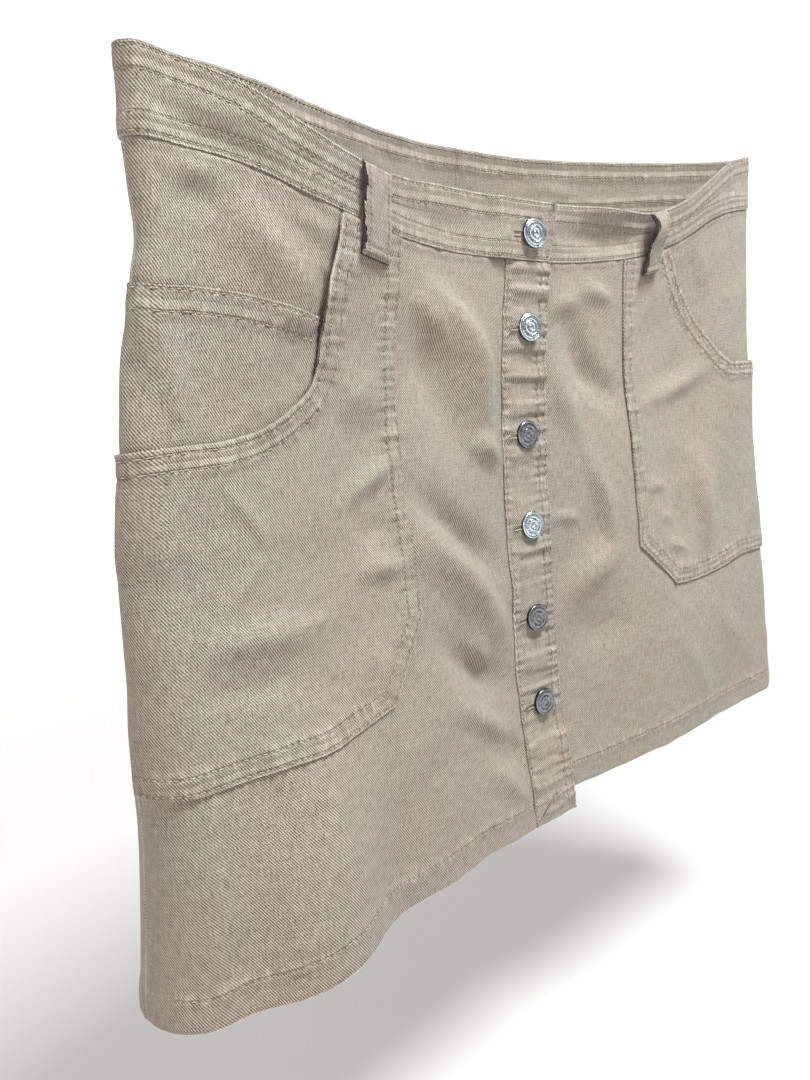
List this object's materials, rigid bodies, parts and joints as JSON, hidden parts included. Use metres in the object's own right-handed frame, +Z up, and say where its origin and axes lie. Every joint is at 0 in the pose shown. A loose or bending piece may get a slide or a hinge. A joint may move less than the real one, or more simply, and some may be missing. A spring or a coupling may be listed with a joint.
{
  "type": "denim mini skirt",
  "caption": "Hollow A-line denim mini skirt with a button front, belt loops, large patch pockets and a small coin pocket, hanging upright.",
  "frame": {"origin": "middle of the waist opening, halfway between its two side corners and level with them on average; the skirt hangs below it", "axes": "+Z up along the hanging line, -Y out of the buttoned front, +X to the wearer's left"},
  "size_m": [0.5473, 0.1223, 0.4316],
  "materials": {
    "denim": "undyed sand-beige cotton twill, matt",
    "button_metal": "silver shank buttons with a turned face"
  },
  "bodies": {
    "root": {"front_panel_right": "denim", "front_panel_left": "denim", "button_band": "denim", "back_panel_right": "denim", "back_panel_left": "denim", "waistband_front_right": "denim", "waistband_front_left": "denim", "waistband_back_right": "denim", "waistband_back_left": "denim", "pocket_right": "denim", "pocket_left": "denim", "coin_pocket": "denim", "belt_loop_front_right": "denim", "belt_loop_front_left": "denim", "belt_loop_back_right": "denim", "belt_loop_back_left": "denim", "belt_loop_back_middle": "denim", "button_1": "button_metal", "button_2": "button_metal", "button_3": "button_metal", "button_4": "button_metal", "button_5": "button_metal", "button_6": "button_metal"}
  },
  "joints": []
}
